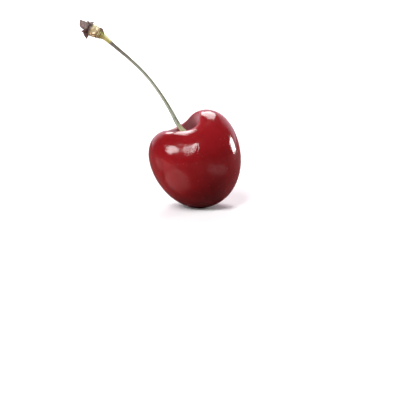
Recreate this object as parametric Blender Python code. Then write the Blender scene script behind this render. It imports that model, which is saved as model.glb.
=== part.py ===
"""A ripe sweet cherry with its stalk, as picked, resting on a surface.

Run it with: blender --background --python part.py, or from Blender's text editor.
Units are metres, +Z is up, and the origin is the middle of the small flat on which the fruit rests.
The higher shoulder of the stalk cavity is on the +X side, and the suture is on the +Y side.
"""

import math

import bmesh
import bpy
from mathutils import Matrix, Vector

# The fruit, along its own axis: heights are counted from its widest level.
FRUIT_WIDTH = 0.0264
DEPTH_SHARE = 0.92
SHOULDER_HEIGHT = 0.00895
SHOULDER_NOTCH = 0.0010
SHOULDER_TURN = math.radians(25.5)
SHOULDER_RISE_RIGHT = 0.0004
SHOULDER_RISE_BACK = 0.0003
SHOULDER_FULLNESS = 2.08
SHOULDER_FULLER_RIGHT = 0.43
TIP_DEPTH = 0.01615
RIM_RADIUS = 0.0056
RIM_OVAL = 0.00064
RIM_SQUARE = 0.00034
RIM_SHIFT_LEFT = 0.00045
LIP_ROUNDNESS = 2.0
LIP_CRISPER_RIGHT = 0.5
FLOOR_SOFTNESS = 0.5
SEAT_RADIUS = 0.0015
SEAT_HEIGHT = 0.0048
SUTURE_TURN = math.radians(82)
SUTURE_SPREAD = math.radians(9)
SUTURE_DEPTH = 0.00028
TIP_DIMPLE_RADIUS = 0.0016
TIP_DIMPLE_DEPTH = 0.00045
UNEVENNESS = 0.006
UNEVEN_TURN = 0.6

# How the fruit lies: it leans to the left, and its lowest part is pressed flat.
FRUIT_LEAN = math.radians(18.7)
FLAT_DEPTH = 0.00036

# The stalk: the points of its middle line and its radius at each. The points are counted from the middle
# of the fruit's widest level, along the object's axes.
STALK_GAP = 0.0003
STALK_FOOT_RISE = 0.0012
STALK_FOOT_RADIUS = 0.00120
STALK_RISE_RADIUS = 0.00096
STALK_POINTS = (
    ((-0.0035, -0.0001, 0.0075), 0.00070),
    ((-0.0071, -0.0004, 0.0135), 0.00056),
    ((-0.0102, -0.0008, 0.0185), 0.00051),
    ((-0.0135, -0.0013, 0.0229), 0.00048),
    ((-0.0177, -0.0019, 0.0273), 0.00048),
    ((-0.0225, -0.0026, 0.0316), 0.00056),
    ((-0.0249, -0.00295, 0.0338), 0.00078),
)
STALK_END = (-0.0258, -0.00305, 0.0345)
STALK_END_RADIUS = 0.00104
STALK_STEPS = 8
STALK_SIDES = 4

# The swollen stub of the fruiting spur, which came away with the stalk.
STUB_LENGTH = 0.00355
STUB_START_RADIUS = 0.00116
STUB_BELLY_RADIUS = 0.00168
STUB_BELLY_SHARE = 0.58
STUB_END_RADIUS = 0.00148
STUB_RINGS = 19
STUB_SIDES = 40
LUMP_ROWS = 3
LUMPS_PER_ROW = 7
LUMP_RELIEF = 0.00024
LUMP_START = 0.16
LUMP_WIDTH_POWER = 0.6
LUMP_LENGTH_POWER = 0.7
BRACT_TURN = math.radians(97)
BRACT_SPREAD = math.radians(34)
BRACT_SHARE = 0.11
BRACT_THICKNESS = 0.09
BRACT_HEIGHT = 0.00105
END_DIRECTION = (-0.858, -0.092, 0.506)

# The dry bud scales round the stub's end: turn round it, splay from its axis, length, width, and the
# width left at the tip as a share of the full one. A turn of 0 is at the back and 90 degrees on top.
SCALES = (
    (math.radians(146), math.radians(-10), 0.0029, 0.0022, 0.75),
    (math.radians(218), math.radians(18), 0.0021, 0.0018, 0.16),
    (math.radians(258), math.radians(84), 0.0021, 0.0016, 0.16),
    (math.radians(300), math.radians(40), 0.0020, 0.0019, 0.30),
    (math.radians(352), math.radians(8), 0.0024, 0.0021, 0.26),
    (math.radians(45), math.radians(22), 0.0020, 0.0019, 0.20),
    (math.radians(86), math.radians(76), 0.0011, 0.0012, 0.18),
)
SCALE_THICKNESS = 0.0006
SCALE_CURL = math.radians(22)
SCALE_CUP = 0.00034
SCALE_SHOULDER = 0.35
SCALE_ROOT_SHARE = 0.72
SCALE_NARROWING = 1.6
SCALE_STEPS = 6
SCALE_LANES = 4
SCALE_ROOT_RADIUS = 0.00100
SCALE_ROOT_HEIGHT = 0.00040
SCALE_CORE_RADIUS = 0.00155
SCALE_CORE_TOP_SHARE = 0.62
SCALE_CORE_LENGTH = 0.0013
SCALE_GAP = 0.0003

FRUIT_TURNS = 64
CAVITY_RINGS = 8
SHOULDER_RINGS = 13
FLANK_RINGS = 15
LOWEST_TURNS = 256
LOWEST_WAYS = 120


def material(name, colour, roughness):
    made = bpy.data.materials.new(name)
    made.use_nodes = True
    shader = made.node_tree.nodes["Principled BSDF"]
    shader.inputs["Base Color"].default_value = (*colour, 1.0)
    shader.inputs["Roughness"].default_value = roughness
    shader.inputs["Metallic"].default_value = 0.0
    return made


def add_object(name, mesh, finish):
    mesh.materials.append(finish)
    made = bpy.data.objects.new(name, mesh)
    bpy.context.scene.collection.objects.link(made)
    return made


def mesh_of(build, name):
    bmesh.ops.recalc_face_normals(build, faces=build.faces)
    mesh = bpy.data.meshes.new(name)
    build.to_mesh(mesh)
    build.free()
    mesh.shade_smooth()
    return mesh


def loft(build, rings):
    """Joins closed rings of points, one after the other, and closes both ends."""
    loops = [[build.verts.new(point) for point in ring] for ring in rings]
    for lower, upper in zip(loops, loops[1:]):
        for i in range(len(lower)):
            j = (i + 1) % len(lower)
            build.faces.new((lower[i], lower[j], upper[j], upper[i]))
    build.faces.new(loops[0][::-1])
    build.faces.new(loops[-1])


def rim(turn):
    """Radius and height of the cavity's rim: two shoulders across from each other, and low lips between."""
    across = 2 * (turn - SHOULDER_TURN)
    radius = RIM_RADIUS + RIM_OVAL * math.cos(across) - RIM_SQUARE * math.cos(4 * turn)
    height = SHOULDER_HEIGHT + SHOULDER_NOTCH * math.cos(across)
    height += SHOULDER_RISE_RIGHT * math.cos(turn) + SHOULDER_RISE_BACK * math.sin(turn)
    return radius - RIM_SHIFT_LEFT * math.cos(turn), height


def right_share(turn):
    """1 on the right, 0 on the left, and smooth between."""
    return (1 + math.cos(turn)) / 2


def cavity_rise(way, turn):
    """How far the cavity's wall has risen from its seat to its rim. The lip is crisper on the right."""
    roundness = LIP_ROUNDNESS - LIP_CRISPER_RIGHT * right_share(turn) ** 2
    return (1 - (1 - way) ** roundness) * way ** (FLOOR_SOFTNESS * (1 - way))


def suture(turn, share):
    """Depth of the shallow furrow down one side, which fades out at both of its ends."""
    away = math.remainder(turn - SUTURE_TURN, math.tau) / SUTURE_SPREAD
    return SUTURE_DEPTH * math.exp(-away * away) * math.sin(math.pi * share) ** 0.5


def fruit_point(way, turn):
    """A point of the skin. way is 0 at the stalk's seat, 1 on the rim, 2 at the widest level, 3 at the tip.

    turn goes round the fruit from the right, and a quarter turn is at the back.
    """
    half = FRUIT_WIDTH / 2
    rim_radius, rim_height = rim(turn)
    if way <= 1:
        radius = SEAT_RADIUS + (rim_radius - SEAT_RADIUS) * way
        height = SEAT_HEIGHT + (rim_height - SEAT_HEIGHT) * cavity_rise(way, turn)
    elif way <= 2:
        arc = (way - 1) * math.pi / 2
        power = 2 / (SHOULDER_FULLNESS + SHOULDER_FULLER_RIGHT * right_share(turn))
        radius = rim_radius + (half - rim_radius) * math.sin(arc) ** power
        height = rim_height * math.cos(arc) ** power
    else:
        arc = (way - 2) * math.pi / 2
        radius = half * math.cos(arc)
        height = -TIP_DEPTH * math.sin(arc)
        height += TIP_DIMPLE_DEPTH * math.exp(-((radius / TIP_DIMPLE_RADIUS) ** 2))
    radius -= suture(turn, way / 3)
    swell = math.sin(3 * turn + UNEVEN_TURN) * math.sin(math.pi * way / 3)
    radius *= 1 + UNEVENNESS * swell * min(1, way)
    return Vector((radius * math.cos(turn), DEPTH_SHARE * radius * math.sin(turn), height))


def fruit_ways():
    """The rings of the skin, from the stalk's seat to just short of the tip."""
    ways = [i / CAVITY_RINGS for i in range(CAVITY_RINGS)]
    ways += [1 + i / SHOULDER_RINGS for i in range(SHOULDER_RINGS)]
    ways += [2 + i / FLANK_RINGS for i in range(FLANK_RINGS)]
    return ways


def fruit_placement():
    """The matrix that leans the fruit and sets its lowest point FLAT_DEPTH below the origin."""
    lean = Matrix.Rotation(-FRUIT_LEAN, 4, "Y")
    turns = [math.tau * i / LOWEST_TURNS for i in range(LOWEST_TURNS)]
    ways = [2 + i / LOWEST_WAYS for i in range(LOWEST_WAYS)]
    flank = [lean @ fruit_point(way, turn) for way in ways for turn in turns]
    lowest = min(flank, key=lambda point: point.z)
    return Matrix.Translation(Vector((-lowest.x, -lowest.y, -lowest.z - FLAT_DEPTH))) @ lean


def add_fruit(placement):
    """The fruit is one solid: flesh and skin grew as one. Its lowest part is cut flat where it rests."""
    turns = [math.tau * i / FRUIT_TURNS for i in range(FRUIT_TURNS)]
    build = bmesh.new()
    loft(build, [[fruit_point(way, turn) for turn in turns] for way in fruit_ways()])
    tip_face = max(build.faces, key=lambda face: -face.calc_center_median().z)
    tip = bmesh.ops.poke(build, faces=[tip_face])["verts"][0]
    tip.co = fruit_point(3, 0)
    to_local = placement.inverted()
    cut = bmesh.ops.bisect_plane(
        build,
        geom=[*build.verts, *build.edges, *build.faces],
        dist=1e-7,
        plane_co=to_local @ Vector((0, 0, 0)),
        plane_no=to_local.to_3x3() @ Vector((0, 0, -1)),
        clear_outer=True,
    )
    rim_edges = [item for item in cut["geom_cut"] if isinstance(item, bmesh.types.BMEdge)]
    bmesh.ops.holes_fill(build, edges=rim_edges)
    mesh = mesh_of(build, "fruit")
    fruit = add_object("fruit", mesh, material("cherry_skin", (0.28, 0.010, 0.018), 0.18))
    fruit.matrix_world = placement
    return fruit


def add_stalk(placement):
    """The stalk stands on the cavity's seat, thins to its middle and flares again into the stub."""
    foot = placement @ Vector((0, 0, SEAT_HEIGHT + STALK_GAP))
    rise = placement @ Vector((0, 0, SEAT_HEIGHT + STALK_GAP + STALK_FOOT_RISE))
    middle = placement.translation
    stations = [(foot, STALK_FOOT_RADIUS), (rise, STALK_RISE_RADIUS)]
    stations += [(middle + Vector(point), radius) for point, radius in STALK_POINTS]
    stations += [(middle + Vector(STALK_END), STALK_END_RADIUS)]
    curve = bpy.data.curves.new("stalk", "CURVE")
    curve.dimensions = "3D"
    curve.bevel_depth = 1.0
    curve.bevel_resolution = STALK_SIDES
    curve.use_fill_caps = True
    curve.resolution_u = STALK_STEPS
    spline = curve.splines.new("BEZIER")
    spline.bezier_points.add(len(stations) - 1)
    for point, (place, radius) in zip(spline.bezier_points, stations):
        point.co = place
        point.radius = radius
        point.handle_left_type = point.handle_right_type = "AUTO"
    spline.radius_interpolation = "CARDINAL"
    stalk = bpy.data.objects.new("stalk", curve)
    curve.materials.append(material("stalk_green", (0.22, 0.26, 0.09), 0.5))
    bpy.context.scene.collection.objects.link(stalk)
    return stalk


def end_frame(placement, distance):
    """A matrix with +Z along the stub, at this distance past the stalk's end. +Y is its top, +X its back."""
    along = Vector(END_DIRECTION).normalized()
    top = along.cross(Vector((0, -1, 0))).normalized()
    back = along.cross(top)
    turned = Matrix((back, top, along)).transposed().to_4x4()
    return Matrix.Translation(placement.translation + Vector(STALK_END) + along * distance) @ turned


def bell(distance, width):
    return math.exp(-((distance / width) ** 2))


def stub_radius(share, turn):
    """The stub swells to a belly. Lumps left by old scales cover it in rows, each row between the last."""
    if share < STUB_BELLY_SHARE:
        swell = math.sin(share / STUB_BELLY_SHARE * math.pi / 2)
        radius = STUB_START_RADIUS + (STUB_BELLY_RADIUS - STUB_START_RADIUS) * swell
    else:
        swell = math.cos((share - STUB_BELLY_SHARE) / (1 - STUB_BELLY_SHARE) * math.pi / 2)
        radius = STUB_END_RADIUS + (STUB_BELLY_RADIUS - STUB_END_RADIUS) * swell
    if share > LUMP_START:
        steps = (share - LUMP_START) / (1 - LUMP_START) * LUMP_ROWS
        row = min(LUMP_ROWS - 1, int(steps))
        lobe = abs(math.cos(LUMPS_PER_ROW * turn / 2 + row * math.pi / 2)) ** LUMP_WIDTH_POWER
        radius += LUMP_RELIEF * lobe * max(0, math.sin(math.pi * (steps - row))) ** LUMP_LENGTH_POWER
    away = math.remainder(turn - BRACT_TURN, math.tau)
    radius += BRACT_HEIGHT * bell(away, BRACT_SPREAD) * bell(share - BRACT_SHARE, BRACT_THICKNESS)
    return radius


def add_stub(placement):
    """The stub is one lump of wood and bark, with the stump of a bract standing up behind its start."""
    build = bmesh.new()
    rings = []
    for i in range(STUB_RINGS):
        share = i / (STUB_RINGS - 1)
        ring = []
        for j in range(STUB_SIDES):
            turn = math.tau * j / STUB_SIDES
            radius = stub_radius(share, turn)
            ring.append((radius * math.cos(turn), radius * math.sin(turn), share * STUB_LENGTH))
        rings.append(ring)
    loft(build, rings)
    cream = material("stub_cream", (0.55, 0.43, 0.20), 0.6)
    stub = add_object("spur_stub", mesh_of(build, "spur_stub"), cream)
    stub.matrix_world = end_frame(placement, STALK_GAP)
    return stub


def scale_half_width(share, width, tip_share):
    """Half the blade's width: it widens from its root to its shoulder and narrows to its tip."""
    if share < SCALE_SHOULDER:
        widening = math.sin(share / SCALE_SHOULDER * math.pi / 2)
        return width / 2 * (SCALE_ROOT_SHARE + (1 - SCALE_ROOT_SHARE) * widening)
    narrowing = ((share - SCALE_SHOULDER) / (1 - SCALE_SHOULDER)) ** SCALE_NARROWING
    return width / 2 * (1 - (1 - tip_share) * narrowing)


def scale_mesh(turn, splay, length, width, tip_share):
    """One dry bud scale: a cupped blade of one thickness, rooted in the core and curling outwards."""
    rings = []
    place = Vector((SCALE_ROOT_RADIUS, 0, SCALE_ROOT_HEIGHT))
    step = length / SCALE_STEPS
    for i in range(SCALE_STEPS + 1):
        share = i / SCALE_STEPS
        lean = splay + SCALE_CURL * share
        along = Vector((math.sin(lean), 0, math.cos(lean)))
        out = Vector((math.cos(lean), 0, -math.sin(lean)))
        half = scale_half_width(share, width, tip_share)
        lower, upper = [], []
        for j in range(SCALE_LANES + 1):
            across = 2 * j / SCALE_LANES - 1
            cup = SCALE_CUP * (1 - across * across) * (half / width * 2)
            middle = place + out * cup + Vector((0, half * across, 0))
            lower.append(middle - out * SCALE_THICKNESS / 2)
            upper.append(middle + out * SCALE_THICKNESS / 2)
        rings.append(lower + upper[::-1])
        place = place + along * step
    build = bmesh.new()
    loft(build, rings)
    bmesh.ops.rotate(build, verts=build.verts, cent=(0, 0, 0), matrix=Matrix.Rotation(turn, 3, "Z"))
    return mesh_of(build, "scale")


def add_scales(placement):
    """The scales are joined to a small core with one union, because they grow from one base."""
    build = bmesh.new()
    bmesh.ops.create_cone(
        build,
        cap_ends=True,
        segments=20,
        radius1=SCALE_CORE_RADIUS,
        radius2=SCALE_CORE_TOP_SHARE * SCALE_CORE_RADIUS,
        depth=SCALE_CORE_LENGTH,
        matrix=Matrix.Translation((0, 0, SCALE_CORE_LENGTH / 2)),
    )
    brown = material("scale_brown", (0.13, 0.085, 0.065), 0.75)
    scales = add_object("bud_scales", mesh_of(build, "bud_scales"), brown)
    blades = bpy.data.collections.new("blades")
    bpy.context.scene.collection.children.link(blades)
    for turn, splay, length, width, tip_share in SCALES:
        blades.objects.link(bpy.data.objects.new("blade", scale_mesh(turn, splay, length, width, tip_share)))
    union = scales.modifiers.new("union", "BOOLEAN")
    union.operation = "UNION"
    union.operand_type = "COLLECTION"
    union.collection = blades
    union.solver = "EXACT"
    graph = bpy.context.evaluated_depsgraph_get()
    joined = bpy.data.meshes.new_from_object(scales.evaluated_get(graph))
    scales.modifiers.remove(union)
    scales.data = joined
    for blade in list(blades.objects):
        bpy.data.objects.remove(blade)
    bpy.data.collections.remove(blades)
    scales.matrix_world = end_frame(placement, STALK_GAP + STUB_LENGTH + SCALE_GAP)
    return scales


def main():
    for old in list(bpy.data.objects):
        bpy.data.objects.remove(old)
    placement = fruit_placement()
    add_fruit(placement)
    add_stalk(placement)
    add_stub(placement)
    add_scales(placement)


main()
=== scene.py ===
import math

import bpy
from mathutils import Matrix, Vector


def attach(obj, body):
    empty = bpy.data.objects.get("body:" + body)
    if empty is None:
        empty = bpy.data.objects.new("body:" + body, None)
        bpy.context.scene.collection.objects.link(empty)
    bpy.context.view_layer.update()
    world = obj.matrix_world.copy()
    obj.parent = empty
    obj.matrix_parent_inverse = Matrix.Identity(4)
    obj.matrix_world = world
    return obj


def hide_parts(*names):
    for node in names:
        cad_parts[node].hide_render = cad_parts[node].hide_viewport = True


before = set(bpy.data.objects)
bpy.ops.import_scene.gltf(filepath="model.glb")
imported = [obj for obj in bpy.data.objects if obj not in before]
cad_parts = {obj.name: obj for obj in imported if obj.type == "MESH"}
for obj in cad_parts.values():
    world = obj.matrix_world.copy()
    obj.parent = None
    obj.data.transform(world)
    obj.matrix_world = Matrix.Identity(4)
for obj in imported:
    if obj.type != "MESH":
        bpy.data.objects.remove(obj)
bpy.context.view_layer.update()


# The fruit. A ripe sweet cherry is one body of juicy flesh in a tight, glossy, dark red skin. It grew as
# one piece: the skin lines the cavity round the stalk, rolls over two shoulders and a furrow, and closes at
# the tip. Patches are given by their size and the two levels between which they are cut.
FRUIT_MIDDLE = Vector((-0.00159, 0.0, 0.01551))
FRUIT_LEAN = math.radians(18.7)
FRUIT_SIZES = {
    "Width": 0.02636,
    "Depth Share": 0.92,
    "Shoulder Height": 0.00893,
    "Shoulder Notch": 0.0010,
    "Tip Depth": 0.01615,
    "Rim Radius": 0.0056,
    "Seat Radius": 0.0015,
    "Seat Height": 0.0048,
    "Furrow Depth": 0.00028,
    "Skin Swell": 0.00006,
    "Turns": 256,
    "Rings": 200,
}
SHOULDER_TURN = math.radians(25.5)
SHOULDER_RISE_RIGHT = 0.0004
SHOULDER_RISE_BACK = 0.0003
SHOULDER_FULLNESS = 2.16
SHOULDER_FULLER_RIGHT = 0.40
RIM_OVAL = 0.00064
RIM_SQUARE = 0.00034
RIM_SHIFT_LEFT = 0.00045
BACK_SWELL = 0.0005
BACK_SWELL_TURN = math.radians(52)
BACK_SWELL_SPREAD = math.radians(24)
LIP_ROUNDNESS = 2.0
LIP_CRISPER_RIGHT = 0.85
FRONT_CRISPER = 0.72
FRONT_TURN = math.radians(-62)
FRONT_SPREAD = math.radians(62)
FLOOR_SOFTNESS = 0.5
FLOOR_WAY = 0.25
TIP_WAY = 3.0
FURROW_TURN = math.radians(82)
FURROW_SPREAD = math.radians(9)
FURROW_SOFTNESS = 0.5
DIMPLE_RADIUS = 0.0016
DIMPLE_DEPTH = 0.00045
SWAY = 0.006
SWAY_LOBES = 3.0
SWAY_TURN = 0.6
SWELL_SIZE = 0.0045
SKIN_RADIUS = 0.0132
CRIMSON = (0.246, 0.0064, 0.0094)
MAROON = (0.155, 0.0046, 0.0060)
MAROON_PATCHES = (0.016, 0.30, 0.70)
MAROON_SHARE = 0.40
STREAK_PATCHES = (0.0016, 0.35, 0.75)
STREAK_SHARE = 0.25
STREAK_TURN = 0.013
STREAK_STEP = 0.0022
TIP_DARKENS = (1.9, 2.8)
TIP_SHARE = 0.5
LIP_RED = (0.42, 0.02, 0.028)
LIP_WAY = 0.92
LIP_REACH = 0.16
LIP_PATCHES = (0.002, 0.1, 0.7)
LIP_SHARE = 0.5
PORE_PALE = (0.50, 0.10, 0.085)
PORE_SPACING = 0.0011
PORE_EDGE = (0.06, 0.17)
PORE_PATCHES = (0.003, 0.40, 0.60)
PORE_SHARE = 0.45
HOLLOW_PAINTED_SHADE = (0.075, 0.004, 0.008)
HOLLOW_EDGE = (0.80, 0.98)
HOLLOW_SHADE_SHARE = 0.6
CAVITY_REFLECTION_MAUVE = (0.42, 0.19, 0.21)
CAVITY_REFLECTION_TURN = math.radians(18)
CAVITY_REFLECTION_SPREAD = math.radians(32)
CAVITY_REFLECTION_RISES = (0.35, 0.75)
CAVITY_REFLECTION_SHARE = 0.95
SCAR_BROWN = (0.10, 0.035, 0.015)
SCAR_REACH = 0.035
SKIN_ROUGHNESS = 0.08
DULL_PATCHES = (0.0025, 0.2, 0.8)
DULL_SHARE = 0.05
SCAR_ROUGHER = 0.4
HOLLOW_ROUGHER = 0.50
SKIN_REFRACTION = 1.45
FLESH_SHARE = 0.45
FLESH_GLOW = (1.0, 0.12, 0.08)
FLESH_DEPTH = 0.003
GRAIN_DEPTH = 0.000024
GRAIN_PATCHES = (0.00065, 0.25, 0.75)
GRAINIER_PATCHES = (0.004, 0.42, 0.60)
GRAINIER_SHARE = 0.7
GRAIN_LEAST = 0.18
RIPPLE_PATCHES = (0.0016, 0.2, 0.8)
RIPPLE_SHARE = 0.7
PIT_SIZE = 0.00062
PIT_EDGE = (0.10, 0.45)
PIT_SHARE = 3.8
PITS_TURN = math.radians(-87)
PITS_SPREAD = math.radians(8.5)
PITS_WAY = 1.74
PITS_REACH = 0.11


def feed(socket, value):
    """Links what another node works out to this input, or sets a plain value on it."""
    if isinstance(value, Field):
        socket.id_data.links.new(value.socket, socket)
    else:
        socket.default_value = value


class Field:
    """What a node works out at every point, so that a shape's or finish's formula reads as plain sums."""

    def __init__(self, socket):
        self.socket = socket

    def done(self, operation, *terms):
        sums = self.socket.id_data.nodes.new("ShaderNodeMath")
        sums.operation = operation
        for place, term in zip(sums.inputs, (self, *terms)):
            feed(place, term)
        return Field(sums.outputs[0])

    def __add__(self, other):
        return self.done("ADD", other)

    def __sub__(self, other):
        return self.done("SUBTRACT", other)

    def __mul__(self, other):
        return self.done("MULTIPLY", other)

    def __truediv__(self, other):
        return self.done("DIVIDE", other)

    def __pow__(self, other):
        return self.done("POWER", other)

    def __rsub__(self, other):
        return self * -1.0 + other

    def __rtruediv__(self, other):
        return self ** -1.0 * other

    def sin(self):
        return self.done("SINE")

    def cos(self):
        return self.done("COSINE")

    def clamp(self, low=0.0, high=1.0):
        return self.done("MAXIMUM", low).done("MINIMUM", high)

    def bell(self, width):
        """1 at zero, and fading to both sides over this width."""
        share = self / width
        return (share * share * -1.0).done("EXPONENT")

    def ramp(self, low, high):
        """0 up to low, 1 from high on, and smooth between."""
        share = ((self - low) / (high - low)).clamp()
        return share * share * (3.0 - share * 2.0)


def add_node(tree, kind, feeds=(), **settings):
    """Adds a node with its settings, and feeds its inputs, given by name or number."""
    made = tree.nodes.new(kind)
    for name, value in settings.items():
        setattr(made, name, value)
    for place, value in dict(feeds).items():
        feed(made.inputs[place], value)
    return made


def field(tree, kind, feeds=(), output=0, **settings):
    """Adds a node and gives what one of its outputs works out."""
    return Field(add_node(tree, kind, feeds, **settings).outputs[output])


def split(tree, vector):
    return [Field(part) for part in add_node(tree, "ShaderNodeSeparateXYZ", {0: vector}).outputs]


def joined(tree, x, y, z):
    return field(tree, "ShaderNodeCombineXYZ", {0: x, 1: y, 2: z})


def shape_tree(name, sizes):
    """A new Geometry Nodes tree with one named input for each size."""
    tree = bpy.data.node_groups.new(name, "GeometryNodeTree")
    tree.interface.new_socket("Start", in_out="INPUT", socket_type="NodeSocketGeometry")
    for label, size in sizes.items():
        kind = "NodeSocketInt" if isinstance(size, int) else "NodeSocketFloat"
        tree.interface.new_socket(label, in_out="INPUT", socket_type=kind)
    tree.interface.new_socket("Piece", in_out="OUTPUT", socket_type="NodeSocketGeometry")
    entry = tree.nodes.new("NodeGroupInput")
    return tree, {socket.name: Field(socket) for socket in entry.outputs if socket.name}


def keep_as(tree, geometry, name, value):
    """Keeps a field on the shape's points under a name that the materials can read."""
    kept = {"Geometry": geometry, "Name": name, "Value": value}
    return field(tree, "GeometryNodeStoreNamedAttribute", kept, data_type="FLOAT", domain="POINT")


def moved(tree, geometry, place):
    return field(tree, "GeometryNodeSetPosition", {"Geometry": geometry, "Position": place})


def end_tree(tree, geometry, finish):
    """Ends a tree: smooth shading, real geometry instead of instances, and the piece's material."""
    smooth = field(tree, "GeometryNodeSetShadeSmooth", {"Geometry": geometry})
    real = field(tree, "GeometryNodeRealizeInstances", {"Geometry": smooth})
    done = field(tree, "GeometryNodeSetMaterial", {"Geometry": real, "Material": finish})
    feed(tree.nodes.new("NodeGroupOutput").inputs[0], done)


def grown(name, tree, sizes, start, place=Matrix.Identity(4)):
    """Runs a shape tree on a starting mesh or curve, and keeps the result as a plain mesh in its place."""
    seed = bpy.data.objects.new(name + "_start", start)
    bpy.context.scene.collection.objects.link(seed)
    modifier = seed.modifiers.new("shape", "NODES")
    modifier.node_group = tree
    for item in tree.interface.items_tree:
        if item.in_out == "INPUT" and item.name in sizes:
            modifier[item.identifier] = sizes[item.name]
    graph = bpy.context.evaluated_depsgraph_get()
    mesh = bpy.data.meshes.new_from_object(
        seed.evaluated_get(graph), preserve_all_data_layers=True, depsgraph=graph
    )
    bpy.data.objects.remove(seed)
    mesh.transform(place)
    mesh.name = name
    piece = bpy.data.objects.new(name, mesh)
    bpy.context.scene.collection.objects.link(piece)
    return piece


def ball(tree, turns, rings):
    """A closed ball of points to shape: its mesh, each point's share of the way down, and its turn."""
    mesh = field(tree, "GeometryNodeMeshUVSphere", {"Segments": turns, "Rings": rings, "Radius": 1.0})
    x, y, z = split(tree, field(tree, "GeometryNodeInputPosition"))
    return mesh, z.clamp(-1.0, 1.0).done("ARCCOSINE") / math.pi, y.done("ARCTAN2", x)


def noise(tree, place, size, detail=2.0):
    """Soft random patches of about this size, from 0 to 1."""
    feeds = {"Vector": place, "Scale": 1.0 / size, "Detail": detail}
    return field(tree, "ShaderNodeTexNoise", feeds)


def fruit_tree(finish):
    tree, size = shape_tree("cherry fruit", FRUIT_SIZES)
    mesh, share, turn = ball(tree, size["Turns"], size["Rings"])
    way = share * (TIP_WAY + FLOOR_WAY) - FLOOR_WAY
    floor = (way / FLOOR_WAY + 1.0).clamp()
    wall = way.clamp()
    shoulder = (way - 1.0).clamp() * (math.pi / 2)
    flank = (way - 2.0).clamp() * (math.pi / 2)
    right = (turn.cos() + 1.0) * 0.5

    across = (turn - SHOULDER_TURN) * 2.0
    rim_height = size["Shoulder Height"] + size["Shoulder Notch"] * across.cos()
    rim_height = rim_height + turn.cos() * SHOULDER_RISE_RIGHT + turn.sin() * SHOULDER_RISE_BACK
    rim_height = rim_height + (turn - BACK_SWELL_TURN).bell(BACK_SWELL_SPREAD) * BACK_SWELL
    rim_radius = size["Rim Radius"] + across.cos() * RIM_OVAL - (turn * 4.0).cos() * RIM_SQUARE
    rim_radius = rim_radius - turn.cos() * RIM_SHIFT_LEFT

    lip = 1.0 - (1.0 - wall) ** (LIP_ROUNDNESS - right * right * LIP_CRISPER_RIGHT)
    rise = lip * wall ** ((1.0 - wall) * FLOOR_SOFTNESS)
    front = ((turn - FRONT_TURN) * (turn - FRONT_TURN)).bell(FRONT_SPREAD * FRONT_SPREAD)
    power = 2.0 / (right * SHOULDER_FULLER_RIGHT - front * FRONT_CRISPER + SHOULDER_FULLNESS)
    half = size["Width"] * 0.5
    radius = size["Seat Radius"] * floor + (rim_radius - size["Seat Radius"]) * wall
    radius = radius + (half - rim_radius) * shoulder.sin().clamp() ** power
    radius = radius - half * (1.0 - flank.cos())
    height = size["Seat Height"] + (rim_height - size["Seat Height"]) * rise
    height = height - rim_height * (1.0 - shoulder.cos().clamp() ** power)
    height = height - size["Tip Depth"] * flank.sin()
    height = height + (half * flank.cos()).bell(DIMPLE_RADIUS) * DIMPLE_DEPTH

    fade = (way * (math.pi / TIP_WAY)).sin().clamp()
    from_furrow = (turn - FURROW_TURN).done("WRAP", math.pi, -math.pi)
    furrow = from_furrow.bell(FURROW_SPREAD) * fade ** FURROW_SOFTNESS
    radius = radius - size["Furrow Depth"] * furrow
    sway = (turn * SWAY_LOBES + SWAY_TURN).sin() * fade * wall * SWAY
    patches = noise(tree, field(tree, "GeometryNodeInputPosition"), SWELL_SIZE / SKIN_RADIUS)
    radius = radius * (sway + 1.0) - size["Skin Swell"] * patches * fade * shoulder.sin()
    flat_y = radius * turn.sin() * size["Depth Share"]

    mesh = keep_as(tree, mesh, "way", way)
    mesh = keep_as(tree, mesh, "turn", turn)
    mesh = moved(tree, mesh, joined(tree, radius * turn.cos(), flat_y, height))
    lean = {"Geometry": mesh, "Translation": FRUIT_MIDDLE, "Rotation": (0.0, -FRUIT_LEAN, 0.0)}
    mesh = field(tree, "GeometryNodeTransform", lean)
    x, y, z = split(tree, field(tree, "GeometryNodeInputPosition"))
    mesh = moved(tree, mesh, joined(tree, x, y, z.clamp(0.0, 1.0)))
    end_tree(tree, mesh, finish)
    return tree


def new_finish(name):
    finish = bpy.data.materials.new(name)
    finish.use_nodes = True
    return finish, finish.node_tree, finish.node_tree.nodes["Principled BSDF"]


def attribute(tree, name):
    """Reads a value that the shape tree kept on the piece's points."""
    return field(tree, "ShaderNodeAttribute", output="Fac", attribute_name=name)


def object_place(tree):
    return field(tree, "ShaderNodeTexCoord", output="Object")


def tinted(tree, mask, first, second):
    """The first colour where the mask is 0, and the second where it is 1."""
    mix = add_node(tree, "ShaderNodeMix", data_type="RGBA")
    feed(mix.inputs["Factor"], mask)
    for place, colour in ((6, first), (7, second)):
        feed(mix.inputs[place], colour if isinstance(colour, Field) else (*colour, 1.0))
    return Field(mix.outputs[2])


def mottle_group():
    """The growth marks that all the finishes share: soft patches of one size, cut between two levels."""
    group = bpy.data.node_groups.new("mottle", "ShaderNodeTree")
    group.interface.new_socket("Place", in_out="INPUT", socket_type="NodeSocketVector")
    for label in ("Size", "Low", "High"):
        group.interface.new_socket(label, in_out="INPUT", socket_type="NodeSocketFloat")
    group.interface.new_socket("Mask", in_out="OUTPUT", socket_type="NodeSocketFloat")
    entry = group.nodes.new("NodeGroupInput")
    given = {socket.name: Field(socket) for socket in entry.outputs if socket.name}
    feeds = {"Vector": given["Place"], "Scale": given["Size"] ** -1.0, "Detail": 3.0}
    patches = field(group, "ShaderNodeTexNoise", feeds)
    feed(group.nodes.new("NodeGroupOutput").inputs[0], patches.ramp(given["Low"], given["High"]))
    return group


MOTTLE = mottle_group()


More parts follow.
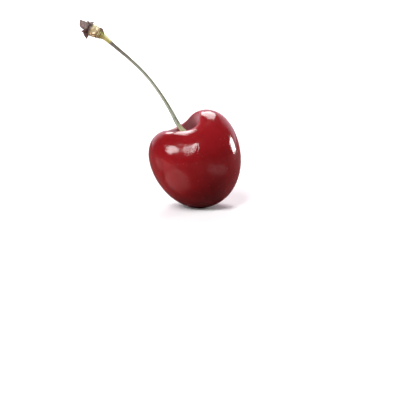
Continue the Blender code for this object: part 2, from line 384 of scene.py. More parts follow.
def mottle(tree, place, size, low=0.35, high=0.65):
    feeds = {"Place": place, "Size": size, "Low": low, "High": high}
    made = tree.nodes.new("ShaderNodeGroup")
    made.node_tree = MOTTLE
    for name, value in feeds.items():
        feed(made.inputs[name], value)
    return Field(made.outputs["Mask"])


def grained(tree, height, depth):
    """How the surface faces once a fine grain of this depth lies on it."""
    return field(tree, "ShaderNodeBump", {"Height": height, "Distance": depth, "Strength": 1.0})


def cherry_skin():
    """Deep red skin, glossy and wet: crimson with maroon patches and pale pores, a cavity darkened with
    painted shade, and a painted mauve reflection on one side of the cavity's wall.
    """
    finish, tree, shader = new_finish("cherry_skin")
    place = object_place(tree)
    way = attribute(tree, "way")
    turn = attribute(tree, "turn")
    streaks = joined(tree, turn.cos() * STREAK_TURN, turn.sin() * STREAK_TURN, way * STREAK_STEP)
    dark = mottle(tree, place, *MAROON_PATCHES) * MAROON_SHARE
    dark = dark + mottle(tree, streaks, *STREAK_PATCHES) * STREAK_SHARE + way.ramp(*TIP_DARKENS) * TIP_SHARE
    colour = tinted(tree, dark.clamp(), CRIMSON, MAROON)
    lip = (way - LIP_WAY).bell(LIP_REACH) * mottle(tree, place, *LIP_PATCHES) * LIP_SHARE
    colour = tinted(tree, lip, colour, LIP_RED)
    cells = {"Vector": place, "Scale": 1.0 / PORE_SPACING, "Randomness": 1.0}
    pores = 1.0 - field(tree, "ShaderNodeTexVoronoi", cells).ramp(*PORE_EDGE)
    colour = tinted(tree, pores * mottle(tree, place, *PORE_PATCHES) * PORE_SHARE, colour, PORE_PALE)
    # The cavity is darkened with painted shade.
    inside = 1.0 - way.ramp(*HOLLOW_EDGE)
    colour = tinted(tree, inside * HOLLOW_SHADE_SHARE, colour, HOLLOW_PAINTED_SHADE)
    # A painted mauve reflection on one side of the cavity's wall.
    cavity_reflection = inside * (turn - CAVITY_REFLECTION_TURN).bell(CAVITY_REFLECTION_SPREAD) * way.ramp(*CAVITY_REFLECTION_RISES) * CAVITY_REFLECTION_SHARE
    colour = tinted(tree, cavity_reflection, colour, CAVITY_REFLECTION_MAUVE)
    scar = (TIP_WAY - way).bell(SCAR_REACH)
    feed(shader.inputs["Base Color"], tinted(tree, scar, colour, SCAR_BROWN))
    roughness = mottle(tree, place, *DULL_PATCHES) * DULL_SHARE + SKIN_ROUGHNESS
    feed(shader.inputs["Roughness"], roughness + scar * SCAR_ROUGHER + inside * HOLLOW_ROUGHER)
    shader.inputs["Subsurface Weight"].default_value = FLESH_SHARE
    shader.inputs["Subsurface Radius"].default_value = FLESH_GLOW
    shader.inputs["Subsurface Scale"].default_value = FLESH_DEPTH
    shader.inputs["IOR"].default_value = SKIN_REFRACTION
    rougher = mottle(tree, place, *GRAINIER_PATCHES) * GRAINIER_SHARE + GRAIN_LEAST
    grain = mottle(tree, place, *GRAIN_PATCHES) * rougher
    grain = grain + mottle(tree, place, *RIPPLE_PATCHES) * RIPPLE_SHARE
    cells = {"Vector": place, "Scale": 1.0 / PIT_SIZE, "Randomness": 1.0}
    pits = field(tree, "ShaderNodeTexVoronoi", cells).ramp(*PIT_EDGE)
    pitted = (turn - PITS_TURN).bell(PITS_SPREAD) * (way - PITS_WAY).bell(PITS_REACH)
    feed(shader.inputs["Normal"], grained(tree, grain + pits * pitted * PIT_SHARE, GRAIN_DEPTH))
    return finish


fruit = grown("cherry_fruit", fruit_tree(cherry_skin()), FRUIT_SIZES, bpy.data.meshes.new("fruit start"))
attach(fruit, "root")
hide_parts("fruit")


# The stalk. A fresh green stem, ribbed lengthwise, that swells where it grows out of the fruit's cavity and
# where it joins the spur. It is green near the fruit, browner further up, and yellow at its foot and neck.
# It has painted light on its left side and on the neck's upper side, and painted shade on its right side,
# its left edge and its grooves. Spans are shares of its length, and the painted light and shade run from -1
# on its right side to 1 on its left side.
STALK_FOOT_POINTS = ((0.0044, 0.00096), (0.0052, 0.00094))
STALK_POINTS = (
    ((-0.00385, -0.0001, 0.0075), 0.00074),
    ((-0.0071, -0.0004, 0.0135), 0.00056),
    ((-0.0102, -0.0008, 0.0185), 0.00051),
    ((-0.0135, -0.0013, 0.0229), 0.00048),
    ((-0.0177, -0.0019, 0.0273), 0.00048),
    ((-0.0225, -0.0026, 0.0316), 0.00056),
    ((-0.0249, -0.00295, 0.0338), 0.00078),
    ((-0.0258, -0.00305, 0.0345), 0.00108),
)
STALK_SUNK_END = ((-0.02635, -0.00311, 0.03482), 0.00112)
STALK_SMOOTHNESS = 24
STALK_SIZES = {
    "Steps": 260,
    "Sides": 40,
    "Ribs": 5.0,
    "Rib Depth": 0.12,
    "Twist": 1.3,
    "Roughness Depth": 0.00003,
}
STALK_BUMP_SIZE = 0.0011
STALK_GREEN = (0.31, 0.39, 0.28)
STALK_PALE = (0.60, 0.72, 0.56)
STALK_PALE_END = 0.2
STALK_BROWN = (0.13, 0.105, 0.092)
STALK_BROWN_SPAN = (0.52, 0.90)
STALK_BROWN_SHARE = 0.9
SPECKLE_PATCHES = (0.0012, 0.45, 0.70)
SPECKLE_SHARE = 0.25
PAINTED_LIGHT_BAND = (-0.4, 0.2)
PAINTED_SHADE_EDGE_SPAN = (0.45, 0.80)
PAINTED_SHADE_SPAN = (-0.7, -0.1)
PAINTED_LIGHT_PATCH_SIZE = 0.0009
PAINTED_LIGHT_SHIFT = 0.3
PAINTED_LIGHT_FADE_SPAN = (0.48, 0.78)
PAINTED_LIGHT_FADE = 0.75
PAINTED_LIGHT_SHARE = 0.85
EDGE_LESS_PAINTED_LIGHT = 0.8
EDGE_PAINTED_SHADE_SHARE = 0.35
SIDE_PAINTED_SHADE_SHARE = 0.55
FOOT_YELLOW = (0.60, 0.62, 0.33)
FOOT_END = 0.16
FOOT_FADE = 0.05
FOOT_SHARE = 0.8
NECK_YELLOW = (0.49, 0.51, 0.12)
NECK_PALE_PAINTED_LIGHT = (0.85, 0.88, 0.50)
NECK_SPAN = (0.902, 0.922)
NECK_PATCH_SIZE = 0.001
NECK_RAGGED = 0.01
NECK_PAINTED_LIGHT_END = 0.1
NECK_PAINTED_LIGHT_FADE = 0.7
NECK_SHARE = 0.7
STALK_PAINTED_SHADE = (0.085, 0.095, 0.06)
GROOVE_SHADE_SPAN = (0.1, -0.9)
GROOVE_SHADE_SHARE = 0.35
GROOVE_SHADE_NECK_LESS = 0.6
STALK_ROUGHNESS = 0.42
STALK_DULL_SIZE = 0.0008
STALK_DULL_SHARE = 0.15
STALK_GRAIN_PATCHES = (0.0003, 0.2, 0.8)
STALK_GRAIN_DEPTH = 0.00001


def stalk_path():
    lean = Matrix.Rotation(-FRUIT_LEAN, 4, "Y")
    stations = [(lean @ Vector((0, 0, height)), radius) for height, radius in STALK_FOOT_POINTS]
    stations += [(Vector(point), radius) for point, radius in (*STALK_POINTS, STALK_SUNK_END)]
    path = bpy.data.curves.new("stalk path", "CURVE")
    path.dimensions = "3D"
    path.resolution_u = STALK_SMOOTHNESS
    spline = path.splines.new("BEZIER")
    spline.bezier_points.add(len(stations) - 1)
    for point, (place, radius) in zip(spline.bezier_points, stations):
        point.co = FRUIT_MIDDLE + place
        point.radius = radius
        point.handle_left_type = point.handle_right_type = "AUTO"
    return path


def stalk_tree(finish):
    tree, size = shape_tree("stalk", STALK_SIZES)
    path = field(tree, "GeometryNodeResampleCurve", {"Curve": size["Start"], "Count": size["Steps"]})
    along = field(tree, "GeometryNodeSplineParameter")
    path = keep_as(tree, path, "along", along)
    twist = {"Curve": path, "Tilt": along * size["Twist"]}
    path = field(tree, "GeometryNodeSetCurveTilt", twist)
    ring = field(tree, "GeometryNodeCurvePrimitiveCircle", {"Resolution": size["Sides"], "Radius": 1.0})
    x, y, z = split(tree, field(tree, "GeometryNodeInputPosition"))
    turn = y.done("ARCTAN2", x)
    rib = (turn * size["Ribs"]).cos()
    bulge = 1.0 - size["Rib Depth"] * (1.0 - rib) * 0.5
    ring = keep_as(tree, ring, "rib", rib)
    ring = moved(tree, ring, joined(tree, x * bulge, y * bulge, z))
    radius = field(tree, "GeometryNodeInputRadius")
    sweep = {"Curve": path, "Profile Curve": ring, "Scale": radius, "Fill Caps": True}
    mesh = field(tree, "GeometryNodeCurveToMesh", sweep)
    place = field(tree, "GeometryNodeInputPosition")
    rough = noise(tree, place, STALK_BUMP_SIZE, 3.0) * size["Roughness Depth"] * -1.0
    inward = add_node(tree, "ShaderNodeVectorMath", operation="SCALE")
    feed(inward.inputs[0], field(tree, "GeometryNodeInputNormal"))
    feed(inward.inputs["Scale"], rough)
    # Which way each point faces, 1 to its left and -1 to its right, for the painted light and shade.
    mesh = keep_as(tree, mesh, "painted_light_side", split(tree, field(tree, "GeometryNodeInputNormal"))[0] * -1.0)
    mesh = field(tree, "GeometryNodeSetPosition", {"Geometry": mesh, "Offset": Field(inward.outputs[0])})
    end_tree(tree, mesh, finish)
    return tree


def stalk_green():
    """Satin stem: dull green with brown speckles, painted light along its front and left, and painted shade
    on its right, its left edge and its grooves.
    """
    finish, tree, shader = new_finish("stalk_green")
    place = object_place(tree)
    along = attribute(tree, "along")
    low = (STALK_PALE_END - along).ramp(0.0, STALK_PALE_END)
    colour = tinted(tree, low, STALK_GREEN, STALK_PALE)
    brown = along.ramp(*STALK_BROWN_SPAN) * STALK_BROWN_SHARE
    brown = brown + mottle(tree, place, *SPECKLE_PATCHES) * SPECKLE_SHARE
    colour = tinted(tree, brown.clamp(), colour, STALK_BROWN)
    # Painted light along its left side, and painted shade on its right side and its far left edge.
    shift = mottle(tree, place, PAINTED_LIGHT_PATCH_SIZE) * PAINTED_LIGHT_SHIFT
    painted_light_side = attribute(tree, "painted_light_side") + shift - PAINTED_LIGHT_SHIFT / 2
    edge = painted_light_side.ramp(*PAINTED_SHADE_EDGE_SPAN)
    pale = painted_light_side.ramp(*PAINTED_LIGHT_BAND) * (1.0 - edge * EDGE_LESS_PAINTED_LIGHT)
    pale = pale * (1.0 - along.ramp(*PAINTED_LIGHT_FADE_SPAN) * PAINTED_LIGHT_FADE) * PAINTED_LIGHT_SHARE
    colour = tinted(tree, pale, colour, STALK_PALE)
    painted_shade = (1.0 - painted_light_side.ramp(*PAINTED_SHADE_SPAN)) * SIDE_PAINTED_SHADE_SHARE + edge * EDGE_PAINTED_SHADE_SHARE
    colour = tinted(tree, painted_shade, colour, STALK_PAINTED_SHADE)
    foot = (FOOT_END - along).ramp(0.0, FOOT_FADE) * FOOT_SHARE
    colour = tinted(tree, foot, colour, FOOT_YELLOW)
    neck = (along + mottle(tree, place, NECK_PATCH_SIZE) * NECK_RAGGED).ramp(*NECK_SPAN)
    # The neck is paler on its upper side with painted light.
    upper = (NECK_PAINTED_LIGHT_END - painted_light_side).ramp(0.0, NECK_PAINTED_LIGHT_FADE) * NECK_SHARE
    colour = tinted(tree, neck, colour, tinted(tree, upper, NECK_YELLOW, NECK_PALE_PAINTED_LIGHT))
    # Its grooves are darkened with painted shade.
    groove_shade = attribute(tree, "rib").ramp(*GROOVE_SHADE_SPAN) * (1.0 - neck * GROOVE_SHADE_NECK_LESS) * GROOVE_SHADE_SHARE
    feed(shader.inputs["Base Color"], tinted(tree, groove_shade, colour, STALK_PAINTED_SHADE))
    dull = mottle(tree, place, STALK_DULL_SIZE) * STALK_DULL_SHARE
    feed(shader.inputs["Roughness"], dull + STALK_ROUGHNESS)
    grain = mottle(tree, place, *STALK_GRAIN_PATCHES)
    feed(shader.inputs["Normal"], grained(tree, grain, STALK_GRAIN_DEPTH))
    return finish


stalk = grown("stalk_stem", stalk_tree(stalk_green()), STALK_SIZES, stalk_path())
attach(stalk, "root")
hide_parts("stalk")


# The spur stub. A short swollen piece of the fruiting spur that came away with the stalk: soft cream bark
# in rounded lumps, green with ring scars where the stalk grows out of it, and brown where it broke off.
# Shares run along it, from 0 at the stalk to 1 at its end.
END_DIRECTION = Vector((-0.858, -0.092, 0.506)).normalized()
STUB_SIZES = {
    "Length": 0.00385,
    "Start Radius": 0.00118,
    "Belly Radius": 0.00170,
    "Belly Share": 0.60,
    "End Radius": 0.00150,
    "Lump Size": 0.00130,
    "Lump Relief": 0.00028,
    "Ring Depth": 0.00018,
    "Turns": 176,
    "Rings": 136,
}
STUB_GAP = 0.00015
CAP_SHARE = 0.06
CAP_BLUNTNESS = 0.45
STIR_SIZE = 0.55
STIR_WIDTH = 0.16
STIR_LUMPS = 0.12
STIR_RINGS = 0.07
LUMP_START = (0.35, 0.50)
LUMP_LATER_BELOW = 0.08
LUMP_DISORDER = 0.85
LUMP_EDGE = (0.0, 0.30)
RING_SHARES = (0.14, 0.26, 0.38)
RING_WIDTH = 0.034
CRUMB_SIZE = 0.0003
CRUMB_DEPTH = 0.00010
LUMP_CREAM = (0.97, 0.90, 0.57)
LUMP_TAN = (0.52, 0.36, 0.13)
TAN_PATCHES = (0.0008, 0.53, 0.62)
TAN_SHARE = 0.55
LUMP_OLIVE = (0.22, 0.165, 0.055)
CLEFT_EDGE = (0.1, 0.44)
CLEFT_GRIME = 0.20
CLEFT_SHARE = 0.72
GRIME_PATCHES = (0.0004, 0.3, 0.7)
RING_GREEN = (0.46, 0.50, 0.12)
RING_PALE = (0.82, 0.79, 0.42)
RING_PALE_SPAN = (0.10, 0.30)
RING_DARK = (0.12, 0.11, 0.03)
RING_GRIME = 0.3
UNDERSIDE_PAINTED_SHADE_GREY = (0.19, 0.195, 0.11)
UNDERSIDE_SHADE_EDGE = (-0.75, 0.15)
UNDERSIDE_SHADE_RAGGEDNESS = 0.3
UNDERSIDE_SHADE_SHARE = 0.75
END_BROWN = (0.13, 0.10, 0.055)
END_SPAN = (0.84, 1.04)
END_GRIME = 0.10
BARK_ROUGHNESS = 0.55
BARK_GRIME_ROUGHER = 0.2
BARK_GRAIN_PATCHES = (0.00018, 0.2, 0.8)
BARK_GRAIN_DEPTH = 0.00003


def end_frame(distance):
    """+Z along the stub, at this distance past the stalk's end. +Y is its top, +X its back."""
    top = END_DIRECTION.cross(Vector((0, -1, 0))).normalized()
    back = END_DIRECTION.cross(top)
    turned = Matrix((back, top, END_DIRECTION)).transposed().to_4x4()
    end = FRUIT_MIDDLE + Vector(STALK_POINTS[-1][0])
    return Matrix.Translation(end + END_DIRECTION * distance) @ turned


def stub_tree(finish):
    tree, size = shape_tree("spur stub", STUB_SIZES)
    mesh, fall, turn = ball(tree, size["Turns"], size["Rings"])
    stir = noise(tree, field(tree, "GeometryNodeInputPosition"), STIR_SIZE) - 0.5
    share = ((1.0 - fall - CAP_SHARE) / (1.0 - 2.0 * CAP_SHARE)).clamp()
    first = (share / size["Belly Share"]).clamp() * (math.pi / 2)
    later = ((share - size["Belly Share"]) / (1.0 - size["Belly Share"])).clamp() * (math.pi / 2)
    radius = size["Start Radius"] + (size["Belly Radius"] - size["Start Radius"]) * first.sin()
    radius = radius - (size["Belly Radius"] - size["End Radius"]) * (1.0 - later.cos())
    radius = radius * (stir * STIR_WIDTH + 1.0)
    height = share * size["Length"]

    smooth = joined(tree, radius * turn.cos(), radius * turn.sin(), height)
    cells = {"Vector": smooth, "Scale": 1.0 / size["Lump Size"], "Randomness": LUMP_DISORDER}
    edge = field(tree, "ShaderNodeTexVoronoi", cells, feature="DISTANCE_TO_EDGE")
    grown_out = (share + stir * STIR_LUMPS + turn.sin() * LUMP_LATER_BELOW).ramp(*LUMP_START)
    lump = edge.ramp(*LUMP_EDGE) * grown_out
    rings = 0.0
    for ring_share in RING_SHARES:
        rings = (share + stir * STIR_RINGS - ring_share).bell(RING_WIDTH) + rings
    radius = radius + size["Lump Relief"] * lump - size["Ring Depth"] * rings
    radius = radius - noise(tree, smooth, CRUMB_SIZE, 3.0) * CRUMB_DEPTH
    cap = ((1.0 - fall) / CAP_SHARE).clamp() * (fall / CAP_SHARE).clamp()
    radius = radius * (cap * (math.pi / 2)).sin() ** CAP_BLUNTNESS

    mesh = keep_as(tree, mesh, "share", share)
    mesh = keep_as(tree, mesh, "lump", lump)
    mesh = keep_as(tree, mesh, "rings", rings)
    mesh = keep_as(tree, mesh, "grown_out", grown_out)
    mesh = moved(tree, mesh, joined(tree, radius * turn.cos(), radius * turn.sin(), height))
    mesh = keep_as(tree, mesh, "upper", split(tree, field(tree, "GeometryNodeInputNormal"))[1])
    end_tree(tree, mesh, finish)
    return tree


def stub_cream():
    """Soft young bark: cream lumps with tan spots and olive clefts, green and ringed first, and greyed
    below with painted shade.
    """
    finish, tree, shader = new_finish("stub_cream")
    place = object_place(tree)
    lump, share = attribute(tree, "lump"), attribute(tree, "share")
    grime = mottle(tree, place, *GRIME_PATCHES)
    colour = tinted(tree, mottle(tree, place, *TAN_PATCHES) * TAN_SHARE, LUMP_CREAM, LUMP_TAN)
    cleft = 1.0 - (lump + grime * CLEFT_GRIME).ramp(*CLEFT_EDGE)
    colour = tinted(tree, cleft * CLEFT_SHARE, colour, LUMP_OLIVE)
    green = tinted(tree, share.ramp(*RING_PALE_SPAN), RING_GREEN, RING_PALE)
    rings = attribute(tree, "rings") + grime * RING_GRIME - RING_GRIME / 2
    green = tinted(tree, rings.clamp(), green, RING_DARK)
    colour = tinted(tree, attribute(tree, "grown_out"), green, colour)
    # The underside is greyed with painted shade.
    underside_shade = 1.0 - (attribute(tree, "upper") + grime * UNDERSIDE_SHADE_RAGGEDNESS).ramp(*UNDERSIDE_SHADE_EDGE)
    colour = tinted(tree, underside_shade * UNDERSIDE_SHADE_SHARE, colour, UNDERSIDE_PAINTED_SHADE_GREY)
    broken = (share + grime * END_GRIME).ramp(*END_SPAN)
    feed(shader.inputs["Base Color"], tinted(tree, broken, colour, END_BROWN))
    feed(shader.inputs["Roughness"], grime * BARK_GRIME_ROUGHER + BARK_ROUGHNESS)
    grain = mottle(tree, place, *BARK_GRAIN_PATCHES)
    feed(shader.inputs["Normal"], grained(tree, grain, BARK_GRAIN_DEPTH))
    return finish


stub_start = bpy.data.meshes.new("stub start")
stub = grown("spur_stub_bark", stub_tree(stub_cream()), STUB_SIZES, stub_start, end_frame(STUB_GAP))
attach(stub, "root")
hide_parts("spur_stub")


# The bud scales. Dry, papery, mauve-brown scales that once wrapped the flower bud. They still grow from a
# small woody core at the stub's end: one long and blunt, the others short and pointed, all with torn edges.
SCALE_TURNS = ("facing", "splay", "curl", "roll")
SCALE_SPANS = ("length", "width", "tip", "skew")
SCALES = (
    ((165, -19, 8, 0), (0.0028, 0.0025, 0.92, -0.18)),
    ((224, 38, 10, 0), (0.0019, 0.0016, 0.12, 0.0)),
    ((250, 116, 11, 60), (0.0024, 0.0023, 0.06, 0.0)),
    ((300, 52, 20, 0), (0.0016, 0.0019, 0.30, 0.0)),
    ((352, 12, 20, 0), (0.0023, 0.0022, 0.26, 0.0)),
    ((48, 34, 22, 0), (0.0014, 0.0019, 0.20, 0.0)),
    ((100, 40, 20, 30), (0.0010, 0.0011, 0.15, 0.0)),
    ((86, 108, 24, 45), (0.0014, 0.0011, 0.40, 0.0)),
)
SCALE_SIZES = {
    "Root Radius": 0.0010,
    "Root Height": 0.0004,
    "Thickness": 0.00024,
    "Cup": 0.0003,
    "Lanes": 13,
    "Steps": 25,
}
SCALE_SHOULDER = 0.35
SCALE_ROOT_SHARE = 0.88
SCALE_NARROWING = 1.4
SCALE_EDGE_THINNER = 0.75
SCALE_TIP_THINNER = 0.6
TEAR_SIZE = 0.55
TEAR_ACROSS = 1.5
TEAR_ALONG = 2.0
TEAR_SIDES = 0.35
TEAR_TIP = 0.10
TEAR_TIP_LEAST = 0.4
PLEAT_ACROSS = 5.0
PLEAT_ALONG = 0.8
PLEAT_RISE = 0.00016
CORE_SIZES = {"Radius": 0.00158, "Top Share": 0.60, "Length": 0.0021, "Turns": 96, "Rings": 64}
CORE_BLUNTNESS = 0.35
CORE_FLAKE_SIZE = 0.22
CORE_FLAKE_DEPTH = 0.30
CORE_SUNK = 0.0004
SCALE_START = 0.0003
SCALE_MAUVE = (0.155, 0.098, 0.092)
SCALE_DUSTY = (0.36, 0.28, 0.25)
DUST_PATCHES = (0.00045, 0.35, 0.70)
DUST_SHARE = 0.7
SCALE_DARK = (0.070, 0.048, 0.036)
DARK_SIDES = (0.62, 1.0)
DARK_SIDE_SHARE = 0.8
DARK_ROOT = (0.0, 0.3)
DARK_ROOT_SHARE = 0.7
DARK_TIP = (0.85, 1.0)
DARK_TIP_SHARE = 0.5
SCALE_ROUGHNESS = 0.62
SCALE_DUST_ROUGHER = 0.15
SCALE_GRAIN_PATCHES = (0.00015, 0.2, 0.8)
SCALE_GRAIN_DEPTH = 0.00003


def scale_roots(scales):
    """One point for each scale, with its traits kept on it."""
    roots = bpy.data.meshes.new("scale roots")
    roots.from_pydata([(0.0, 0.0, 0.0)] * len(scales), [], [])
    for column, name in enumerate(SCALE_TURNS + SCALE_SPANS):
        kept = roots.attributes.new(name, "FLOAT", "POINT")
        for row, (turns, spans) in enumerate(scales):
            kept.data[row].value = (*map(math.radians, turns), *spans)[column]
    return roots


def named(tree, name):
    return field(tree, "GeometryNodeInputNamedAttribute", {"Name": name}, data_type="FLOAT")


def scale_tree(finish):
    tree, size = shape_tree("bud scales", SCALE_SIZES)
    lanes, steps = size["Lanes"], size["Steps"]
    blank = {"Size": (2.0, 1.0, 1.0), "Vertices X": lanes, "Vertices Y": steps, "Vertices Z": 2}
    blade = field(tree, "GeometryNodeMeshCube", blank)
    x, y, z = split(tree, field(tree, "GeometryNodeInputPosition"))
    blade = keep_as(tree, blade, "across", x)
    blade = keep_as(tree, blade, "share", y + 0.5)
    blade = keep_as(tree, blade, "side", z)
    copies = field(tree, "GeometryNodeInstanceOnPoints", {"Points": size["Start"], "Instance": blade})
    mesh = field(tree, "GeometryNodeRealizeInstances", {"Geometry": copies})

    across, share, side = named(tree, "across"), named(tree, "share"), named(tree, "side")
    facing, splay, length = named(tree, "facing"), named(tree, "splay"), named(tree, "length")
    width, tip, curl, roll = (named(tree, name) for name in ("width", "tip", "curl", "roll"))
    skew = named(tree, "skew")
    torn = noise(tree, joined(tree, across * TEAR_ACROSS, share * TEAR_ALONG, facing), TEAR_SIZE, 3.0) - 0.5
    spread = ((share / SCALE_SHOULDER).clamp() * (math.pi / 2)).sin()
    widening = 1.0 - (1.0 - spread) * (1.0 - SCALE_ROOT_SHARE)
    narrowing = ((share - SCALE_SHOULDER) / (1.0 - SCALE_SHOULDER)).clamp() ** SCALE_NARROWING
    taper = widening - (1.0 - tip) * narrowing
    outer = across * across
    half = width * 0.5 * taper * (1.0 - outer * share * (torn + 0.5) * TEAR_SIDES)
    end = length * (1.0 - outer * TEAR_TIP * (torn + TEAR_TIP_LEAST)) * (across * skew + 1.0)
    lean = splay + curl * share
    reach = end / curl
    out = reach * (splay.cos() - lean.cos())
    up = reach * (lean.sin() - splay.sin())
    thin = (1.0 - outer * SCALE_EDGE_THINNER) * (1.0 - share * SCALE_TIP_THINNER)
    pleats = noise(tree, joined(tree, across * PLEAT_ACROSS, share * PLEAT_ALONG, facing), 1.0) - 0.5
    lift = size["Cup"] * (1.0 - outer) * taper + pleats * PLEAT_RISE * share
    lift = lift + side * size["Thickness"] * thin
    beside = half * across
    lift = lift + beside * roll.sin()
    beside = beside * roll.cos()
    out = out + lean.cos() * lift + size["Root Radius"]
    up = up - lean.sin() * lift + size["Root Height"]
    place_x = out * facing.cos() - beside * facing.sin()
    place_y = out * facing.sin() + beside * facing.cos()
    mesh = moved(tree, mesh, joined(tree, place_x, place_y, up))
    end_tree(tree, mesh, finish)
    return tree


def core_tree(finish):
    tree, size = shape_tree("scale core", CORE_SIZES)
    mesh, fall, turn = ball(tree, size["Turns"], size["Rings"])
    rise = 1.0 - fall
    point = field(tree, "GeometryNodeInputPosition")
    radius = size["Radius"] * (1.0 - rise * (1.0 - size["Top Share"]))
    radius = radius * (fall * math.pi).sin() ** CORE_BLUNTNESS
    flakes = noise(tree, point, CORE_FLAKE_SIZE, 3.0)
    radius = radius * (1.0 - flakes * CORE_FLAKE_DEPTH)
    mesh = keep_as(tree, mesh, "share", rise)
    mesh = keep_as(tree, mesh, "across", flakes)
    mesh = moved(tree, mesh, joined(tree, radius * turn.cos(), radius * turn.sin(), rise * size["Length"]))
    end_tree(tree, mesh, finish)
    return tree


def scale_brown():
    """Dry paper: mauve brown with dusty patches, and nearly black at its root, its sides and its tip."""
    finish, tree, shader = new_finish("scale_brown")
    place = object_place(tree)
    across = attribute(tree, "across")
    share = attribute(tree, "share")
    dust = mottle(tree, place, *DUST_PATCHES)
    colour = tinted(tree, dust * DUST_SHARE, SCALE_MAUVE, SCALE_DUSTY)
    dark = across.done("ABSOLUTE").ramp(*DARK_SIDES) * DARK_SIDE_SHARE
    dark = dark + (1.0 - share.ramp(*DARK_ROOT)) * DARK_ROOT_SHARE + share.ramp(*DARK_TIP) * DARK_TIP_SHARE
    feed(shader.inputs["Base Color"], tinted(tree, dark.clamp(), colour, SCALE_DARK))
    feed(shader.inputs["Roughness"], dust * SCALE_DUST_ROUGHER + SCALE_ROUGHNESS)
    grain = mottle(tree, place, *SCALE_GRAIN_PATCHES)
    feed(shader.inputs["Normal"], grained(tree, grain, SCALE_GRAIN_DEPTH))
    return finish


SCALE_FINISH = scale_brown()
SCALE_SHAPE = scale_tree(SCALE_FINISH)
SCALE_PLACE = end_frame(STUB_SIZES["Length"] + SCALE_START)
CORE_PLACE = end_frame(STUB_SIZES["Length"] - CORE_SUNK)
scales = grown("bud_scale_blades", SCALE_SHAPE, SCALE_SIZES, scale_roots(SCALES), SCALE_PLACE)
core_start = bpy.data.meshes.new("core start")
core = grown("bud_scale_core", core_tree(SCALE_FINISH), CORE_SIZES, core_start, CORE_PLACE)
for piece in (scales, core):
    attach(piece, "root")
    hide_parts("bud_scales")


# The bract. One more scale of the same dry, papery kind, which grew under the flower's stalk. Its blunt
# torn stump still stands on top of the stub, where the stalk grows out of it.
BRACT = (((122, 70, -14, 58), (0.0019, 0.0020, 0.80, 0.0)),)
BRACT_SIZES = SCALE_SIZES | {"Root Radius": 0.0006, "Root Height": 0.0003, "Cup": 0.0002}

bract = grown("bract_scale", SCALE_SHAPE, BRACT_SIZES, scale_roots(BRACT), end_frame(STUB_GAP))
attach(bract, "root")
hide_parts("spur_stub")


# The studio. A plain white table and a soft glow behind it. Two oval panels light the cherry from the left
# and the front, an oval one from above and behind, and a rectangular one from low on the right. What isn't
# the camera's own view of the table is dim red with painted pink pools of light: a painted reflection and
# bounce light, which the glossy fruit mirrors.
TABLE_RADIUS = 6.0
TABLE_DROP = 0.00005
PAINTED_LIGHT_POOLS = (
    (-0.062, -0.022, 0.026, 0.040, 0.70),
    (-0.018, -0.018, 0.010, 0.0145, 0.95),
    (0.045, -0.038, 0.018, 0.032, 0.58),
)
PAINTED_POOL_PINK = (1.0, 0.60, 0.58)
TABLE_ROUGHNESS = 0.9
TABLE_GLOSS = 0.1
TABLE_GLOW = 0.7
TABLE_GLOW_SPAN = (0.03, 0.5)
TABLE_PAINTED_REFLECTION_RED = (0.23, 0.11, 0.11)
TABLE_SEEN = (0.92, 0.92, 0.92)
LIGHT_DISTANCE = 0.7
PANELS = (
    ("left panel", "ELLIPSE", -50.4, 33, 0.198, 0.46, -24, 14.9),
    ("front panel", "ELLIPSE", -19.5, 53, 0.170, 0.46, 0, 15.2),
    ("back panel", "ELLIPSE", -178, 49, 0.34, 0.50, 30, 8.5),
    ("side strip", "RECTANGLE", 115, 9, 0.18, 0.30, 12, 24.0),
)
BACKDROP_LEFT = (math.radians(-70), math.radians(-35))
BACKDROP_RIGHT = (math.radians(44), math.radians(56))
BACKDROP_TOP = (math.radians(38), math.radians(50))
BACKDROP_FOOT = (math.radians(-25), math.radians(0))
BACKDROP_GLOW = 1.2
BACKDROP_SEEN = 0.95
ROOM_GLOW = 0.12
BACKDROP_LILAC = (1.0, 0.80, 0.93)


def table_white():
    finish, tree, shader = new_finish("table_white")
    shader.inputs["Roughness"].default_value = TABLE_ROUGHNESS
    shader.inputs["Specular IOR Level"].default_value = TABLE_GLOSS
    x, y, z = split(tree, object_place(tree))
    far = (x * x + y * y) ** 0.5
    # Painted pink pools of light on a dim red table, seen only in reflections and in the light it bounces.
    painted_pool = 0.0
    for across, along, inner, outer, strength in PAINTED_LIGHT_POOLS:
        distance = ((x - across) * (x - across) + (y - along) * (y - along)) ** 0.5
        painted_pool = ((1.0 - distance.ramp(inner, outer)) * strength).done("MAXIMUM", painted_pool)
    seen = field(tree, "ShaderNodeLightPath", output="Is Camera Ray")
    painted_table_reflection = tinted(tree, painted_pool, TABLE_PAINTED_REFLECTION_RED, PAINTED_POOL_PINK)
    feed(shader.inputs["Base Color"], tinted(tree, seen, painted_table_reflection, TABLE_SEEN))
    feed(shader.inputs["Emission Strength"], far.ramp(*TABLE_GLOW_SPAN) * seen * TABLE_GLOW)
    shader.inputs["Emission Color"].default_value = (1.0, 1.0, 1.0, 1.0)
    return finish


table_mesh = bpy.data.meshes.new("table")
signs = ((-1, -1), (1, -1), (1, 1), (-1, 1))
corners = [(x * TABLE_RADIUS, y * TABLE_RADIUS, -TABLE_DROP) for x, y in signs]
table_mesh.from_pydata(corners, [], [(0, 1, 2, 3)])
table_mesh.materials.append(table_white())
table = bpy.data.objects.new("table", table_mesh)
bpy.context.scene.collection.objects.link(table)

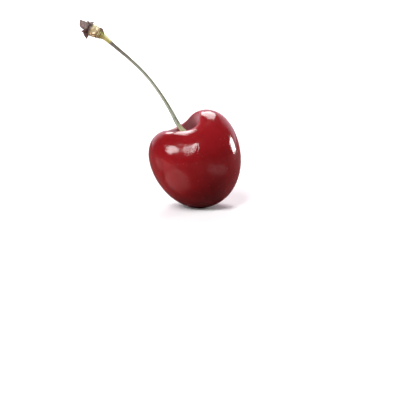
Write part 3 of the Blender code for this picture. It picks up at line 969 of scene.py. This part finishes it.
for name, shape, around, above, wide, tall, roll, glow in PANELS:
    around, above = math.radians(around), math.radians(above)
    level = math.cos(above)
    towards = Vector((math.sin(around) * level, -math.cos(around) * level, math.sin(above)))
    lamp = bpy.data.lights.new(name, "AREA")
    lamp.shape = shape
    lamp.size = wide
    lamp.size_y = tall
    filled = math.pi / 4 if shape == "ELLIPSE" else 1.0
    lamp.energy = glow * math.pi * wide * tall * filled
    panel = bpy.data.objects.new(name, lamp)
    facing = towards.to_track_quat("Z", "Y").to_matrix().to_4x4()
    facing = facing @ Matrix.Rotation(math.radians(roll), 4, "Z")
    panel.matrix_world = Matrix.Translation(FRUIT_MIDDLE + towards * LIGHT_DISTANCE) @ facing
    panel.visible_camera = False
    bpy.context.scene.collection.objects.link(panel)

world = bpy.data.worlds.new("studio")
world.use_nodes = True
bpy.context.scene.world = world
room = world.node_tree
towards = field(room, "ShaderNodeTexCoord", output="Generated")
x, y, z = split(room, towards)
around = x.done("ARCTAN2", y)
rise = z.clamp(-1.0, 1.0).done("ARCSINE")
backdrop = around.ramp(*BACKDROP_LEFT) * (1.0 - around.ramp(*BACKDROP_RIGHT))
backdrop = backdrop * rise.ramp(*BACKDROP_FOOT) * (1.0 - rise.ramp(*BACKDROP_TOP))
glow = backdrop * BACKDROP_GLOW + ROOM_GLOW
seen = field(room, "ShaderNodeLightPath", output="Is Camera Ray")
feed(room.nodes["Background"].inputs["Strength"], glow + seen * (BACKDROP_SEEN - glow))
feed(room.nodes["Background"].inputs["Color"], tinted(room, seen, BACKDROP_LILAC, (1.0, 1.0, 1.0)))


# The camera. It stands in front of the fruit and looks down at it a little, with a long lens.
CAMERA_RISE = math.radians(14)
CAMERA_DISTANCE = 0.45
CAMERA_LENS = 140.8
CAMERA_FRAME = 36.0
CAMERA_NEAR = 0.01
VIEW_RIGHT = 0.001685
VIEW_DOWN = 0.013345

camera = bpy.data.cameras.new("camera")
camera.lens = CAMERA_LENS
camera.sensor_width = CAMERA_FRAME
camera.clip_start = CAMERA_NEAR
viewer = bpy.data.objects.new("camera", camera)
ahead = Vector((0, math.cos(CAMERA_RISE), -math.sin(CAMERA_RISE)))
upward = Vector((0, math.sin(CAMERA_RISE), math.cos(CAMERA_RISE)))
viewer.location = FRUIT_MIDDLE + Vector((VIEW_RIGHT, 0, 0)) - upward * VIEW_DOWN - ahead * CAMERA_DISTANCE
viewer.rotation_euler = (math.pi / 2 - CAMERA_RISE, 0.0, 0.0)
bpy.context.scene.collection.objects.link(viewer)
bpy.context.scene.camera = viewer
bpy.context.scene.view_settings.view_transform = "Standard"
